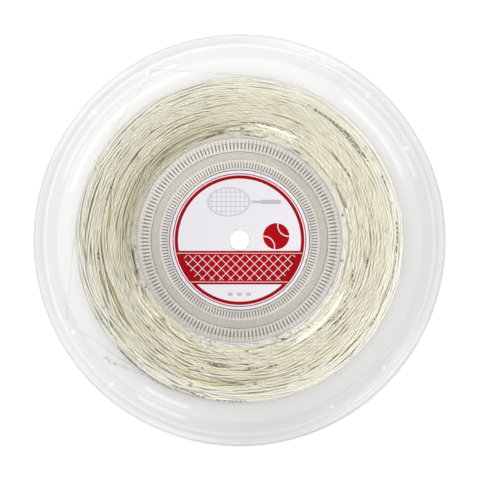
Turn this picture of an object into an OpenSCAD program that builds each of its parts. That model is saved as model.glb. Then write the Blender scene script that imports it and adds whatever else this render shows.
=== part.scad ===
// Reel of racket string: two clear spool halves pressed together by toothed rings,
// a winding of string between them, a loose clear film round the winding, and two labels.
// The reel lies flat on its rear face, with its axis along Z and the origin at the centre of
// that face. Heights in the modules are measured outwards from the reel's middle plane.

/* [Spool] */
// Diameter over the rim of both flanges
flange_d = 270; // [262:1:280]
// Thickness over the rims and hubs
reel_w = 24; // [23:0.5:28]
// Wall thickness of the moulded halves
wall_t = 1.75; // [1.4:0.05:2]
// Space between the flanges for the string
winding_w = 16.5; // [15.5:0.25:17]
// Diameter of the spindle hole
spindle_d = 12.7; // [8:0.1:15]
// Height of each of the two shallow steps in a flange
step_h = 0.45; // [0.2:0.05:0.6]
// Thickness of the rounded rim
rim_t = 3; // [2.4:0.1:3.2]

/* [Hub] */
// Outer diameter of the drum that the string is wound on
drum_d = 134; // [132:0.5:136]
// Diameter of the raised hub face
hub_face_d = 141; // [138:0.5:144]
// Number of teeth on each toothed ring
teeth = 160; // [80:20:200]
// Root diameter of the plug's outer teeth
outer_root_d = 119.4; // [119:0.1:120]
// Root diameter of the plug's inner teeth
inner_root_d = 102.8; // [102:0.1:103.4]
// Depth of the teeth
tooth_h = 3.6; // [2:0.1:3.8]
// Play between the plug's teeth and the teeth that they press into
tooth_play = 0.3; // [0.2:0.05:0.4]
// Number of gussets round the foot of the drum
gussets = 16; // [8:1:24]
// Radial length of a gusset
gusset_l = 4; // [2:0.1:4.5]

/* [String] */
// Diameter of the string
string_d = 1.3; // [1.1:0.05:1.4]
// Diameter over the winding
winding_d = 215.3; // [205:0.1:220]
// Turns shown on each side face of the winding
side_turns = 9; // [3:1:9]
// Turns shown round the outside of the winding
rim_turns = 6; // [3:1:6]

/* [Film and labels] */
// Thickness of the film band
film_t = 0.2; // [0.1:0.05:0.3]
// Distance from the axis to the two corners where the slack film stands off
film_corner_r = 126; // [115:1:127]
// Length of the tape that closes the film
tape_l = 34; // [15:1:60]
// Diameter of the labels
label_d = 91; // [80:0.5:91]
// Thickness of the labels
label_t = 0.2; // [0.1:0.05:0.4]
// Depth of the seat that a label lies in
label_seat_h = 0.8; // [0.5:0.1:1]

/* [Hidden] */

$fn = 96;
over = 1; // reach of a cutting solid past the face that it cuts

CLEAR_PLASTIC = [0.85, 0.86, 0.85, 0.5];
LABEL_WHITE = [0.96, 0.96, 0.97];
STRING_CREAM = [0.89, 0.87, 0.76];
INNER_CREAM = [0.80, 0.77, 0.64];
FILM_CLEAR = [0.92, 0.94, 0.96, 0.3];

// Heights above the middle plane
hub_h = reel_w / 2;
plate_h = winding_w / 2 + wall_t;
panel_h = hub_h - label_seat_h;

// Radii of the flange, from the rim inwards
rim_r = flange_d / 2;
bead_r = rim_t / 2;
middle_band_r = rim_r - 15;
outer_step_w = 2;
inner_step_w = 3;
inner_step_r = rim_r - 19;
hub_edge_r = hub_face_d / 2;
hub_slope_w = 7.5;
label_seat_r = label_d / 2 + 0.5;
spindle_r = spindle_d / 2;
boss_t = 2.25;

// Holes that the string's end can be tucked through
tuck_hole_d = 3;
tuck_hole_r = rim_r - 9;
tuck_holes = 4;
front_hole_angle = 48.5;
rear_hole_angle = 29;

// Toothed rings
drum_r = drum_d / 2;
plug_outer_root = outer_root_d / 2;
plug_inner_root = inner_root_d / 2;
trough_outer_r = plug_outer_root - wall_t;
trough_inner_r = plug_inner_root + wall_t;
plug_depth = 6;
tooth_share = 0.42; // the rest of the pitch is a notch a little wider than a tooth
inner_wall_r = label_seat_r + 0.1;

// Gussets and the collar that they stand on
collar_t = 0.85;
collar_play = 0.15;
collar_r = drum_r + collar_play + collar_t;
collar_end_h = winding_w / 2 - 1.35;
gusset_half_w = 3.2;
gusset_turn = 16.5;

// Winding: the tube's six corners lie on a circle that makes it string_d across its flats
tube_r = string_d / 2 / cos(30);
winding_play = 0.15;
side_h = winding_w / 2 - winding_play - string_d / 2;
side_start_r = collar_r + gusset_l + 1;
rim_path_r = winding_d / 2 - tube_r;
rings_per_turn = 24;
core_half_w = side_h - string_d / 2;
core_r = rim_path_r * cos(180 / rings_per_turn) - tube_r;
total_turns = 2 * side_turns + rim_turns;
ring_count = total_turns * rings_per_turn;

// Film
film_r = winding_d / 2 + 0.1;
film_half_w = winding_w / 2 - 0.35;
film_corner_angles = [117, 205];
tape_angle = 236;

// Mirrors a half that is built upwards, so that it becomes the rear one
module to_rear() mirror([0, 0, 1]) children();

// Lifts the reel from its middle plane to its rear face
module lift() translate([0, 0, hub_h]) children();

// Profile of one half from the spindle hole to the rim, outer face first
function half_profile() = [
    [spindle_r, panel_h],
    [label_seat_r, panel_h],
    [label_seat_r, hub_h],
    [hub_edge_r, hub_h],
    [hub_edge_r + hub_slope_w, plate_h],
    [inner_step_r - inner_step_w, plate_h],
    [inner_step_r, plate_h + step_h],
    [middle_band_r, plate_h + step_h],
    [middle_band_r + outer_step_w, plate_h + 2 * step_h],
    [rim_r - bead_r, plate_h + 2 * step_h],
    [rim_r - bead_r, plate_h + 2 * step_h - wall_t],
    [middle_band_r + outer_step_w, plate_h + 2 * step_h - wall_t],
    [middle_band_r, plate_h + step_h - wall_t],
    [inner_step_r, plate_h + step_h - wall_t],
    [inner_step_r - inner_step_w, plate_h - wall_t],
    [hub_edge_r + hub_slope_w, plate_h - wall_t],
    [hub_edge_r, hub_h - wall_t],
    [label_seat_r, hub_h - wall_t],
    [label_seat_r, panel_h - wall_t],
    [spindle_r + boss_t, panel_h - wall_t],
    [spindle_r + boss_t, 0],
    [spindle_r, 0]
];

// Disc, hub face, label seat and spindle boss, which both halves share
module half_shell(hole_angle) {
    difference() {
        rotate_extrude()
            union() {
                polygon(half_profile());
                translate([rim_r - bead_r, hub_h - bead_r]) circle(bead_r, $fn = 48);
            }
        for (i = [0 : tuck_holes - 1])
            rotate(hole_angle + i * 360 / tuck_holes)
                translate([tuck_hole_r, 0, plate_h - wall_t - over])
                    cylinder(h = wall_t + 2 * step_h + 2 * over, d = tuck_hole_d, $fn = 32);
    }
}

// Outline of square-cut teeth with radial flanks, whose tips take this share of the pitch
function toothed_outline(tip_r, root_r, tip_share) = [
    for (i = [0 : teeth - 1])
        for (corner = [
            [tip_r, -tip_share / 2], [tip_r, tip_share / 2],
            [root_r, tip_share / 2], [root_r, 1 - tip_share / 2]
        ])
            let (a = (i + corner[1]) * 360 / teeth)
                corner[0] * [cos(a), sin(a)]
];

// Collar of gussets that point outwards from the foot of the drum
module gusset_collar(inner_r) {
    translate([0, 0, collar_end_h])
        linear_extrude(hub_h - wall_t - collar_end_h + wall_t / 2)
            difference() {
                union() {
                    circle(collar_r);
                    for (i = [0 : gussets - 1])
                        rotate(gusset_turn + i * 360 / gussets)
                            polygon([
                                [collar_r - collar_t / 2, -gusset_half_w],
                                [collar_r + gusset_l, 0],
                                [collar_r - collar_t / 2, gusset_half_w]
                            ]);
                }
                circle(inner_r);
            }
}

module front_flange() {
    color(CLEAR_PLASTIC)
        lift()
            difference() {
                union() {
                    half_shell(front_hole_angle);
                    gusset_collar(drum_r + collar_play);
                    translate([0, 0, -plug_depth])
                        linear_extrude(plug_depth + hub_h - wall_t / 2)
                            difference() {
                                polygon(toothed_outline(
                                    plug_outer_root + tooth_h, plug_outer_root, tooth_share
                                ));
                                polygon(toothed_outline(
                                    plug_inner_root - tooth_h, plug_inner_root, tooth_share
                                ));
                            }
                }
                translate([0, 0, wall_t - plug_depth])
                    linear_extrude(plug_depth + hub_h)
                        difference() {
                            circle(trough_outer_r);
                            circle(trough_inner_r);
                        }
            }
}

module rear_flange() {
    wall_h = hub_h - wall_t;
    color(CLEAR_PLASTIC)
        lift()
            to_rear()
                union() {
                    half_shell(rear_hole_angle);
                    gusset_collar(drum_r - collar_t);
                    translate([0, 0, -wall_h])
                        linear_extrude(2 * wall_h + wall_t / 2) {
                            difference() {
                                circle(drum_r);
                                polygon(toothed_outline(
                                    plug_outer_root + tooth_h + tooth_play,
                                    plug_outer_root + tooth_play,
                                    1 - tooth_share
                                ));
                            }
                            difference() {
                                polygon(toothed_outline(
                                    plug_inner_root - tooth_h - tooth_play,
                                    plug_inner_root - tooth_play,
                                    1 - tooth_share
                                ));
                                circle(inner_wall_r);
                            }
                        }
                }
}

// Round label with a hole a little wider than the spindle hole
module label() {
    translate([0, 0, panel_h])
        linear_extrude(label_t)
            difference() {
                circle(d = label_d);
                circle(spindle_r + 0.4);
            }
}

module front_label() {
    color(LABEL_WHITE) lift() label();
}

module rear_label() {
    color(LABEL_WHITE) lift() to_rear() label();
}

module string_core() {
    color(INNER_CREAM)
        lift()
            translate([0, 0, -core_half_w])
                difference() {
                    cylinder(h = 2 * core_half_w, r = core_r);
                    translate([0, 0, -over])
                        cylinder(h = 2 * core_half_w + 2 * over, r = drum_r + 0.05);
                }
}

// Centre of the string after t turns: out over the front face, across the rim, in over the rear face
function path_radius(t) =
    t < side_turns ? side_start_r + (rim_path_r - side_start_r) * t / side_turns
    : t < side_turns + rim_turns ? rim_path_r
    : rim_path_r - (rim_path_r - side_start_r) * (t - side_turns - rim_turns) / side_turns;

function path_height(t) =
    side_h * (1 - 2 * min(1, max(0, (t - side_turns) / rim_turns)));

function path_point(t) = [
    path_radius(t) * cos(360 * t),
    path_radius(t) * sin(360 * t),
    path_height(t)
];

string_path = [for (i = [0 : ring_count]) path_point(i / rings_per_turn)];

// Six corners round the string, in the plane that holds the reel's axis
function string_ring(i) = [
    for (k = [0 : 5])
        let (a = 360 * i / rings_per_turn, r = tube_r * cos(60 * k))
            string_path[i] + [r * cos(a), r * sin(a), tube_r * sin(60 * k)]
];

// Least clear distance between the string and any turn of it beside this one
string_gap = min([
    for (i = [0 : ring_count])
        for (j = [i + rings_per_turn / 2 : ring_count])
            norm(string_path[i] - string_path[j])
]) - 2 * tube_r;
echo(string_turns = total_turns, least_string_gap_mm = string_gap);

module string_outer_turns() {
    corners = [for (i = [0 : ring_count]) each string_ring(i)];
    sides = [
        for (i = [0 : ring_count - 1])
            for (k = [0 : 5])
                let (a = 6 * i + k, b = 6 * i + (k + 1) % 6)
                    each [[a, b, a + 6], [b, b + 6, a + 6]]
    ];
    start_cap = [for (k = [1 : 4]) [0, k + 1, k]];
    last = 6 * ring_count;
    end_cap = [for (k = [1 : 4]) [last, last + k, last + k + 1]];
    color(STRING_CREAM)
        lift()
            polyhedron(points = corners, faces = concat(sides, start_cap, end_cap));
}

// Outline of the film: round the winding, with two straight-sided corners
module film_outline(grow) {
    r = film_r + grow;
    spread = acos(film_r / film_corner_r);
    circle(r, $fn = 180);
    for (a = film_corner_angles)
        polygon([
            [0, 0],
            [r * cos(a - spread), r * sin(a - spread)],
            [r / cos(spread) * cos(a), r / cos(spread) * sin(a)],
            [r * cos(a + spread), r * sin(a + spread)]
        ]);
}

module wrap_film() {
    color(FILM_CLEAR)
        lift()
            translate([0, 0, -film_half_w])
                linear_extrude(2 * film_half_w)
                    difference() {
                        film_outline(film_t);
                        film_outline(0);
                    }
}

module film_tape() {
    tape_r = film_r + film_t;
    half_angle = tape_l / tape_r * 90 / PI;
    color(FILM_CLEAR)
        lift()
            translate([0, 0, -film_half_w])
                rotate(tape_angle)
                    intersection() {
                        difference() {
                            cylinder(h = 2 * film_half_w, r = tape_r + film_t, $fn = 180);
                            translate([0, 0, -over])
                                cylinder(h = 2 * film_half_w + 2 * over, r = tape_r, $fn = 180);
                        }
                        linear_extrude(2 * film_half_w)
                            polygon([
                                [0, 0],
                                2 * tape_r * [cos(half_angle), -sin(half_angle)],
                                2 * tape_r * [cos(half_angle), sin(half_angle)]
                            ]);
                    }
}

front_flange();
rear_flange();
front_label();
rear_label();
string_core();
string_outer_turns();
wrap_film();
film_tape();
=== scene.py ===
# %% [markdown]
# # A reel of racket string
# The real thing is a clear plastic spool about 27 cm across, wound with some 200 m of cream
# string. The engineering model gives every piece its place and size. This lesson dresses it:
# each piece gets a mesh as detailed as the eye expects and a finish made of shader nodes.

# %% Load the frame
import math

import bmesh
import bpy
import numpy as np
from mathutils import Matrix, Vector, noise as soft_noise


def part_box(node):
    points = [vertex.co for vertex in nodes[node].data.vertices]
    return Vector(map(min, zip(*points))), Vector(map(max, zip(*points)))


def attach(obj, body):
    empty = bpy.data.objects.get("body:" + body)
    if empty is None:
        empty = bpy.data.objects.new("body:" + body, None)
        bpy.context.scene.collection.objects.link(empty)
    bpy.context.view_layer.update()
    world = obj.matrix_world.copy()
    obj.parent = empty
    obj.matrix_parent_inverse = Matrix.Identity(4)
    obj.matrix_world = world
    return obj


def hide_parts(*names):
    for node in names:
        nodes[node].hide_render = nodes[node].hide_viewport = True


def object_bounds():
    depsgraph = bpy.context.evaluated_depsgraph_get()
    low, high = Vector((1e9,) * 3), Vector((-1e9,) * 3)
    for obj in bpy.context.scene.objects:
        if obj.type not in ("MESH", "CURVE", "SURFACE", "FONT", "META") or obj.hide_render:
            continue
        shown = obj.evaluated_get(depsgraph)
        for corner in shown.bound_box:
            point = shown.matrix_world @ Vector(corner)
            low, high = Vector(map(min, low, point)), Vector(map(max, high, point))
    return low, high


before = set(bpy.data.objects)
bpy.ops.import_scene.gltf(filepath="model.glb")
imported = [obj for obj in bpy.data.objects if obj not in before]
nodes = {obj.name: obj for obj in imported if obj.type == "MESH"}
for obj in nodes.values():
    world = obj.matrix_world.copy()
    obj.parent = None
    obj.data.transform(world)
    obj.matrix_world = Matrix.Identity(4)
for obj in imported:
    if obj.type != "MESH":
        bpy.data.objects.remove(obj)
frame_low, frame_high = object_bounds()
print("frame:", sorted(nodes), "size in mm:", [round(x * 1000, 1) for x in frame_high - frame_low])

# %% [markdown]
# ## Sizes
# Where the box of a node tells a size, it is read from there. The other sizes of the mouldings
# are given where their sections are drawn, in millimetres, with heights counted from the
# middle plane of the reel, because both halves are drawn alike.

# %% Read the driving sizes
MM = 0.001
REEL_RADIUS = (frame_high.x - frame_low.x) / 2
MIDDLE_Z = (frame_low.z + frame_high.z) / 2
TOP_Z = frame_high.z

core_low, core_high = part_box("string_core")
turns_low, turns_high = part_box("string_outer_turns")
WINDING_RADIUS = turns_high.x
WINDING_HALF_WIDTH = (turns_high.z - turns_low.z) / 2
print("core", round((core_high.x - core_low.x) / MM, 1), "mm across")
print("winding", round(2 * WINDING_RADIUS / MM, 1), "by", round(2 * WINDING_HALF_WIDTH / MM, 1), "mm")

# %% [markdown]
# ## Camera
# The reel is seen square on, from far away, so its far rim hardly looks smaller than its near
# one. A long lens does the same. The camera looks straight down because the reel lies flat.

# %% Set up the camera
CAMERA_HEIGHT = 2.2225
CAMERA_SHIFT = Vector((0.33 * MM, 0.07 * MM))
SENSOR_WIDTH = 36
LENS = 252.2

camera_data = bpy.data.cameras.new("camera")
camera_data.sensor_width = SENSOR_WIDTH
camera_data.lens = LENS
camera_data.dof.use_dof = False
camera = bpy.data.objects.new("camera", camera_data)
camera.location = (CAMERA_SHIFT.x, CAMERA_SHIFT.y, CAMERA_HEIGHT)
bpy.context.scene.collection.objects.link(camera)
bpy.context.scene.camera = camera
bpy.context.scene.view_settings.view_transform = "Standard"
print("camera at", tuple(round(x, 4) for x in camera.location))

# %% [markdown]
# ## Writing shader maths as Python
# A pattern is a formula on coordinates. Wired by hand it takes dozens of Math nodes. This
# small class wraps one socket and lets Python's own operators add those nodes, so a pattern
# reads like the formula that it is.

# %% Wrap a socket
class Value:
    """A number that varies over a surface: one output socket of a shader tree."""

    def __init__(self, finish, socket):
        self.finish = finish
        self.socket = socket

    def maths(self, operation, *others):
        return self.finish.add("ShaderNodeMath", {"operation": operation}, (self, *others))

    def __add__(self, other):
        return self.maths("ADD", other)

    def __radd__(self, other):
        return self.maths("ADD", other)

    def __sub__(self, other):
        return self.maths("SUBTRACT", other)

    def __rsub__(self, other):
        return (self * -1) + other

    def __mul__(self, other):
        return self.maths("MULTIPLY", other)

    def __rmul__(self, other):
        return self.maths("MULTIPLY", other)

    def __truediv__(self, other):
        return self.maths("DIVIDE", other)

    def __pow__(self, other):
        return self.maths("POWER", other)

    def __abs__(self):
        return self.maths("ABSOLUTE")

    def sine(self):
        return self.maths("SINE")

    def root(self):
        return self.maths("SQRT")

    def wrapped(self, size):
        """The remainder of a division, always from 0 to size."""
        return self.maths("FLOORED_MODULO", size)

    def lower(self, other):
        return self.maths("MINIMUM", other)

    def higher(self, other):
        return self.maths("MAXIMUM", other)

    def ramp(self, start, end, low=0.0, high=1.0):
        """low up to start, high from end on, and a smooth step between them."""
        return self.finish.add(
            "ShaderNodeMapRange",
            {"interpolation_type": "SMOOTHSTEP", "clamp": True},
            (self, start, end, low, high),
        )

    def between(self, rise, fall):
        """1 between two smooth steps, each given as its start and end, and 0 outside them."""
        return self.ramp(*rise) * self.ramp(*fall, 1.0, 0.0)


print("sums on sockets:", ", ".join(name for name in vars(Value) if not name.startswith("_")))

# %% Make every other node with one method
class Finish:
    """A material while it is being made."""

    def __init__(self, name):
        self.material = bpy.data.materials.new(name)
        self.material.use_nodes = True
        self.tree = self.material.node_tree
        self.tree.nodes.clear()

    def add(self, kind, settings=None, inputs=(), output=0):
        """Adds a node, sets it up, fills its sockets and returns one of its outputs."""
        node = self.tree.nodes.new(kind)
        for name, setting in (settings or {}).items():
            setattr(node, name, setting)
        filled = inputs.items() if isinstance(inputs, dict) else enumerate(inputs)
        for name, content in filled:
            if isinstance(content, Value):
                self.tree.links.new(content.socket, node.inputs[name])
            elif content is not None:
                node.inputs[name].default_value = content
        return Value(self, node.outputs[output])

    def place(self):
        """Object coordinates, in metres from the centre of the reel's rear face."""
        return self.add("ShaderNodeTexCoord", output="Object")

    def apart(self, vector):
        """The three numbers of a vector."""
        first = self.add("ShaderNodeSeparateXYZ", inputs=(vector,))
        node = first.socket.node
        return [Value(self, node.outputs[i]) for i in range(3)]

    def together(self, x, y, z):
        return self.add("ShaderNodeCombineXYZ", inputs=(x, y, z))

    def from_axis(self):
        """Distance from the axis of the reel, in millimetres."""
        x, y, z = self.apart(self.place())
        return (x * x + y * y).root() / MM

    def noise(self, vector, scale, detail=2.0, roughness=0.5):
        """Soft noise from 0 to 1, with scale blobs to the metre."""
        inputs = {"Vector": vector, "Scale": scale, "Detail": detail, "Roughness": roughness}
        return self.add("ShaderNodeTexNoise", inputs=inputs)

    def blend(self, share, first, second):
        """A colour between two colours."""
        return self.add(
            "ShaderNodeMix", {"data_type": "RGBA"}, {0: share, 6: first, 7: second}, output=2
        )

    def bump(self, height, depth, strength=1.0):
        inputs = {"Height": height, "Distance": depth, "Strength": strength}
        return self.add("ShaderNodeBump", inputs=inputs)

    def surface(self, shader):
        output = self.tree.nodes.new("ShaderNodeOutputMaterial")
        self.tree.links.new(shader.socket, output.inputs["Surface"])
        return self.material


print("parts of a finish:", ", ".join(name for name in vars(Finish) if not name.startswith("_")))

# %% Give colours as they are seen
def colour(red, green, blue):
    """A colour given as it is seen, from 0 to 255, in the linear numbers that nodes take."""
    seen = [c / 255 for c in (red, green, blue)]
    return (*[c / 12.92 if c <= 0.04045 else ((c + 0.055) / 1.055) ** 2.4 for c in seen], 1.0)


def grey(level):
    """A grey given in the linear numbers that nodes take."""
    return (level, level, level, 1.0)


print("middle grey is", round(colour(128, 128, 128)[0], 3), "to a node")

# %% [markdown]
# ## Floor
# The reel lies on a light table. Its white face glows by itself, so that clear plastic has
# something bright behind it, and the lamps light it too, so that the reel leaves a soft shadow.
# The glow is a formula of the place: stronger towards the upper left, stronger still behind the
# hub, and held back beyond the rim. Light that bounces off the floor onto the reel comes from a
# plain matt white instead, because a glowing floor would light the reel from below.

# %% Lay the floor
FLOOR_SIZE = 12.0
FLOOR_GAP = 0.05 * MM
PAINT = (0.78, 0.81)
SHADE = 0.38
GLOW = 0.80
GLOW_WAY = (-1.50, 1.00)
GLOW_RANGE = (0.65, 0.965)
BEYOND_RIM = (128.0, 137.0)
GLOW_BEYOND_RIM = 0.82
BEHIND_HUB = (68.0, 82.0)
GLOW_BEHIND_HUB = 0.25
HUB_GLOW_WAY = (1.5, 0.8)
HUB_GLOW_TWIST = 45.0


def ray(finish, *kinds):
    """1 for rays of these kinds and 0 for all others."""
    paths = [finish.add("ShaderNodeLightPath", output=kind) for kind in kinds]
    share = paths[0]
    for path in paths[1:]:
        share = share.higher(path)
    return share


def glow_level(finish):
    """How strongly the floor glows at each place."""
    x, y, z = finish.apart(finish.place())
    radius = finish.from_axis()
    level = (y * GLOW_WAY[1] + x * GLOW_WAY[0] + GLOW).higher(GLOW_RANGE[0]).lower(GLOW_RANGE[1])
    level = level.lower(radius.ramp(*BEYOND_RIM, GLOW_RANGE[1], GLOW_BEYOND_RIM))
    hub = x * HUB_GLOW_WAY[0] + y * HUB_GLOW_WAY[1] - x * y * HUB_GLOW_TWIST + GLOW_BEHIND_HUB
    return level + hub * radius.ramp(*BEHIND_HUB, 1.0, 0.0)


def floor_finish():
    finish = Finish("floor")
    seen = ray(finish, "Is Camera Ray", "Is Glossy Ray", "Is Transmission Ray")
    grain = finish.noise(finish.place(), 60.0, 3.0)
    paint = finish.blend(grain, grey(PAINT[0]), grey(PAINT[1]))
    matt = finish.add("ShaderNodeBsdfDiffuse", inputs={"Color": paint})
    shade = finish.add("ShaderNodeBsdfDiffuse", inputs={"Color": grey(SHADE)})
    level = glow_level(finish)
    glow = finish.add("ShaderNodeEmission", inputs={"Color": finish.together(level, level, level)})
    bright = finish.add("ShaderNodeAddShader", inputs=(shade, glow))
    return finish.surface(finish.add("ShaderNodeMixShader", inputs=(seen, matt, bright)))


def new_object(name, mesh):
    item = bpy.data.objects.new(name, mesh)
    bpy.context.scene.collection.objects.link(item)
    return item


sheet = bmesh.new()
bmesh.ops.create_grid(sheet, x_segments=4, y_segments=4, size=FLOOR_SIZE / 2)
bmesh.ops.translate(sheet, verts=sheet.verts, vec=(0, 0, frame_low.z - FLOOR_GAP))
floor_mesh = bpy.data.meshes.new("floor")
sheet.to_mesh(floor_mesh)
sheet.free()
floor = new_object("floor", floor_mesh)
floor.data.materials.append(floor_finish())
print("floor laid")

# %% [markdown]
# ## Lamps
# Two soft lamps light the reel and don't show in its gloss. The other six do the opposite: they
# light nothing and only show in the gloss and through the plastic. Each of them leaves a
# soft-edged highlight on the clear plastic, wherever a slope is half as steep as the lamp's
# tilt, and that is what makes it look like plastic. Because the two kinds are apart, highlights
# can be placed without changing how bright the reel is.

# %% Hang the lamps
LAMPS = [
    # name, direction round the reel and tilt from its axis in degrees, distance, size, radiance,
    # and whether it lights the reel or shows in its gloss
    ("key", 125, 50, 1.5, (1.0, 1.0), 3.9, True),
    ("fill", 345, 50, 0.7, (0.3, 0.3), 11.0, True),
    ("far_right", 315, 10.5, 2.0, (0.34, 0.13), 1.3, False),
    ("far_left", 217, 10.5, 2.0, (0.20, 0.13), 1.3, False),
    ("far_above", 65, 10.5, 2.0, (0.10, 0.13), 1.6, False),
    ("lower_right", 316, 40, 1.2, (0.50, 0.42), 5.2, False),
    ("upper_right", 71, 40, 1.6, (0.34, 0.46), 6.0, False),
    ("lower_left", 214, 40, 1.6, (0.28, 0.40), 3.0, False),
]


def hang_lamp(name, turn, tilt, distance, size, radiance, lights):
    """An area lamp that faces the reel. Its power follows from how bright its face looks."""
    lamp = bpy.data.lights.new(name, "AREA")
    lamp.shape = "RECTANGLE"
    lamp.size, lamp.size_y = size
    lamp.energy = radiance * math.pi * size[0] * size[1]
    item = bpy.data.objects.new(name, lamp)
    item.visible_diffuse = lights
    item.visible_glossy = not lights
    item.visible_transmission = not lights
    bpy.context.scene.collection.objects.link(item)
    turn, tilt = math.radians(turn), math.radians(tilt)
    way = Vector((math.cos(turn) * math.sin(tilt), math.sin(turn) * math.sin(tilt), math.cos(tilt)))
    item.location = Vector((0, 0, MIDDLE_Z)) + way * distance
    item.rotation_mode = "QUATERNION"
    item.rotation_quaternion = way.to_track_quat("Z", "Y")


for lamp in LAMPS:
    hang_lamp(*lamp)

print(len(LAMPS), "lamps")

# %% [markdown]
# ## World
# The world fills in where no lamp reaches. It gives the reel a weak, even light, and looks
# brighter than that where it is seen directly or through the plastic. A Light Path node knows
# which kind of ray asks. Clear plastic also needs many bounces: a ray crosses some ten faces.

# %% Light the world
WORLD_LEVEL = 0.6
WORLD_LEVELS = (("Is Diffuse Ray", 0.36), ("Is Transmission Ray", 0.85), ("Is Camera Ray", 1.0))
BOUNCES = 32

world = bpy.data.worlds.new("studio")
bpy.context.scene.world = world
world.use_nodes = True
world_nodes, world_links = world.node_tree.nodes, world.node_tree.links
background = world_nodes["Background"]
background.inputs["Color"].default_value = grey(1.0)
paths = world_nodes.new("ShaderNodeLightPath")
strength = None
for kind, level in WORLD_LEVELS:
    choice = world_nodes.new("ShaderNodeMix")
    choice.inputs["A"].default_value = WORLD_LEVEL
    choice.inputs["B"].default_value = level
    world_links.new(paths.outputs[kind], choice.inputs["Factor"])
    if strength:
        world_links.new(strength, choice.inputs["A"])
    strength = choice.outputs["Result"]
world_links.new(strength, background.inputs["Strength"])
cycles = bpy.context.scene.cycles
cycles.max_bounces = BOUNCES
cycles.transmission_bounces = BOUNCES
cycles.transparent_max_bounces = BOUNCES
print("world levels for", len(WORLD_LEVELS), "kinds of ray")

# %% [markdown]
# ## Clear plastic
# The two halves are moulded in clear polystyrene. A ray bends through it, loses a little at
# each face and picks up a faint grey. Most rings of the moulding differ in thickness and polish,
# so a table gives each of them its tint, which is the share of light that it lets through. The
# ring just outside the winding is darker in the table as a painted shadow of the winding. The
# mould also left two rings a little frosted: the outer part of the rim, and a ring above the
# foot of the drum, which is wavy as well. Lamps would take very long to find their way through
# bending walls, so for their rays the walls are plain see-through.

# %% Make the clear plastic
RIM = REEL_RADIUS / MM
RIM_STEP = RIM - 15.6
OVER_WINDING = (0.945, 0.944, 0.938, 1.0)
RING_TINTS = (
    # radii in millimetres where a tint starts and where it is full, and the tint from there on
    (90.0, 98.0, (0.968, 0.967, 0.964, 1.0)),
    # The next two rows are a painted shadow of the winding: darkest at its edge, back to the flange's
    # tint by 114 mm.
    (105.4, 107.2, (0.860, 0.858, 0.855, 1.0)),
    (106.8, 114.0, (0.892, 0.891, 0.890, 1.0)),
    (RIM_STEP, RIM_STEP + 1.2, (0.856, 0.855, 0.854, 1.0)),
    (RIM_STEP + 8.2, RIM_STEP + 10.0, (0.950, 0.949, 0.948, 1.0)),
    (RIM_STEP + 10.4, RIM_STEP + 12.2, (0.745, 0.744, 0.743, 1.0)),
    (RIM_STEP + 13.2, RIM_STEP + 14.2, (0.820, 0.819, 0.818, 1.0)),
)
HUB_EDGE = (66.9, 68.1)
HUB_TINT = (0.835, 0.816, 0.784, 1.0)
TROUGH_EDGES = ((51.6, 52.4), (58.9, 59.7))
TROUGH_TINT = (0.722, 0.700, 0.655, 1.0)
WAVY_EDGES = ((62.5, 65.0), (68.5, 71.0))
FROSTED_EDGES = ((63.0, 65.0), (69.5, 71.0))
FROSTED_RIM = (RIM_STEP + 7.2, RIM_STEP + 9.0)
PLASTIC_IOR = 1.5


def partly_open(finish, solid, passing, strength):
    """Lets the rays marked as passing straight through, at this strength."""
    clear = finish.add("ShaderNodeBsdfTransparent", inputs={"Color": grey(strength)})
    return finish.surface(finish.add("ShaderNodeMixShader", inputs=(passing, solid, clear)))


def clear_plastic():
    finish = Finish("clear_plastic")
    place = finish.place()
    radius = finish.from_axis()
    tint = OVER_WINDING
    for start, full, ring_tint in RING_TINTS:
        tint = finish.blend(radius.ramp(start, full), tint, ring_tint)
    tint = finish.blend(radius.ramp(*HUB_EDGE, 1.0, 0.0), tint, HUB_TINT)
    tint = finish.blend(radius.between(*TROUGH_EDGES), tint, TROUGH_TINT)
    frost = radius.between(*FROSTED_EDGES).higher(radius.ramp(*FROSTED_RIM))
    specks = finish.noise(place, 2600.0, 1.0)
    waves = finish.noise(place, 55.0, 2.0)
    ripples = finish.noise(place, 230.0, 1.5) * radius.between(*WAVY_EDGES)
    glass = finish.add(
        "ShaderNodeBsdfPrincipled",
        inputs={
            "Base Color": tint,
            "Roughness": specks.ramp(0.62, 0.78, 0.02, 0.08) + frost * 0.16,
            "IOR": PLASTIC_IOR,
            "Transmission Weight": 1.0,
            "Normal": finish.bump(waves * 0.1 + ripples, 0.3 * MM),
        },
    )
    passing = ray(finish, "Is Shadow Ray", "Is Diffuse Ray")
    return partly_open(finish, glass, passing, 0.98)


def grained_shaded_plastic():
    """The flanks of the teeth, with the mould's grain, and painted shade that is darker on the outer
    ring.
    """
    finish = Finish("grained_shaded_plastic")
    grain = finish.noise(finish.place(), 3000.0, 3.0)
    # Painted shade: the outer ring's flanks, deep between two walls in the drum's shade, are much
    # darker.
    outer = finish.from_axis().ramp(53.0, 58.0)
    base = finish.blend(outer, colour(246, 243, 236), colour(156, 150, 139))
    return finish.surface(
        finish.add(
            "ShaderNodeBsdfPrincipled",
            inputs={
                "Base Color": base,
                "Roughness": grain.ramp(0.3, 0.7, 0.45, 0.7),
                "IOR": PLASTIC_IOR,
                "Normal": finish.bump(grain, 0.04 * MM),
            },
        )
    )


plastic = clear_plastic()
grained_shaded_flanks = grained_shaded_plastic()
print("made", plastic.name, "and", grained_shaded_flanks.name)

# %% [markdown]
# ## The two halves of the spool
# Each half is a moulding, and nearly all of it is round. So its cross-section is drawn once,
# with a radius at every corner as any mould has, and spun round the axis. Two things are not
# round: the teeth, and the gussets at the foot of the drum. A spun mesh is a grid of rings and
# steps, so these come from moving the points of a few rings in a pattern, which leaves one
# clean closed wall. That matters in clear plastic, where any inner face would show. Where the
# halves touch, a hair of air is left, because a ray must know which wall it leaves first.

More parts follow.
